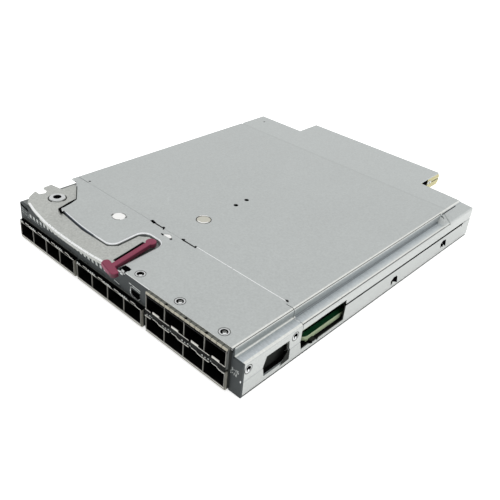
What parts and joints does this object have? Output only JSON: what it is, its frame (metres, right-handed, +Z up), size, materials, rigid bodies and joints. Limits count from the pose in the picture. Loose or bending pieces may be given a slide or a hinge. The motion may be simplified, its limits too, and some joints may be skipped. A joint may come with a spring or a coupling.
{
  "type": "pass-through module",
  "caption": "Flat sheet-metal pass-through module with rows of transceiver cages, a swinging ejector lever with a latch, and a rear connector tongue.",
  "frame": {"origin": "middle of the tray's underside, halfway along the tray", "axes": "+X across the module to the low shoulder side, +Y from the port face back to the rear connectors, +Z up out of the cover"},
  "size_m": [0.1961, 0.2625, 0.0277],
  "materials": {
    "galvanised_steel": "satin zinc coat",
    "lever_steel": "satin",
    "faceplate_paint": "matt",
    "cage_steel": "satin, lightly warm",
    "gasket_metal": "tinned spring metal",
    "connector_black": "moulded",
    "board_laminate": "green solder resist on glass laminate",
    "insulating_black": "film",
    "zinc_fastener": "zinc plated",
    "chip_black": "moulded",
    "heat_sink_metal": "extruded",
    "capacitor_can": "satin",
    "connector_ivory": "moulded",
    "guide_moulding": "moulded",
    "divider_black": "printed strip",
    "light_pipe_clear": "clear moulding",
    "port_shell_metal": "plated",
    "port_tongue_black": "moulded",
    "latch_magenta": "moulded, satin",
    "bright_steel": "bright",
    "post_white": "nylon",
    "post_beige": "nylon"
  },
  "bodies": {
    "chassis": {"base_tray": "galvanised_steel", "front_cover": "galvanised_steel", "rear_cover": "galvanised_steel", "lever_support_plate": "galvanised_steel", "faceplate": "faceplate_paint", "cage_left": "cage_steel", "cage_middle": "cage_steel", "cage_right_lower": "cage_steel", "cage_right_upper": "cage_steel", "gasket_left": "gasket_metal", "gasket_middle": "gasket_metal", "gasket_right_lower": "gasket_metal", "gasket_right_upper": "gasket_metal", "host_connectors_left": "connector_black", "host_connectors_middle": "connector_black", "host_connectors_right_lower": "connector_black", "host_connectors_right_upper": "connector_black", "mezzanine_connectors": "connector_black", "port_board": "board_laminate", "main_board": "board_laminate", "insulating_film": "insulating_black", "standoffs": "zinc_fastener", "board_screws": "zinc_fastener", "cover_screws": "zinc_fastener", "side_screws": "zinc_fastener", "lever_pivot_rivet": "zinc_fastener", "signal_chips": "chip_black", "power_converters": "chip_black", "heat_sink": "heat_sink_metal", "capacitors": "capacitor_can", "rear_connector_left": "connector_ivory", "rear_connector_centre": "connector_ivory", "rear_connector_right": "connector_ivory", "guide_block_left": "guide_moulding", "guide_block_right": "guide_moulding", "port_divider_bar": "divider_black", "light_pipes_left": "light_pipe_clear", "light_pipes_middle": "light_pipe_clear", "light_pipes_right": "light_pipe_clear", "service_port_shell": "port_shell_metal", "service_port_tongue": "port_tongue_black", "latch_keeper": "bright_steel", "cover_post_front": "post_white", "cover_post_rear": "post_beige"},
    "lever": {"ejector_lever": "lever_steel", "latch_pin": "bright_steel"},
    "latch": {"release_latch": "latch_magenta"}
  },
  "joints": [
    {"name": "lever_swing", "type": "hinge", "parent": "chassis", "child": "lever", "pos_m": [-0.0815, -0.0962, 0.0244], "axis": [0, 0, -1], "range_deg": [0, 65]},
    {"name": "latch_press", "type": "hinge", "parent": "lever", "child": "latch", "pos_m": [-0.0023, -0.0866, 0.0264], "axis": [0, 0, -1], "range_deg": [0, 3], "stiffness_Nm_per_rad": 1.5}
  ]
}
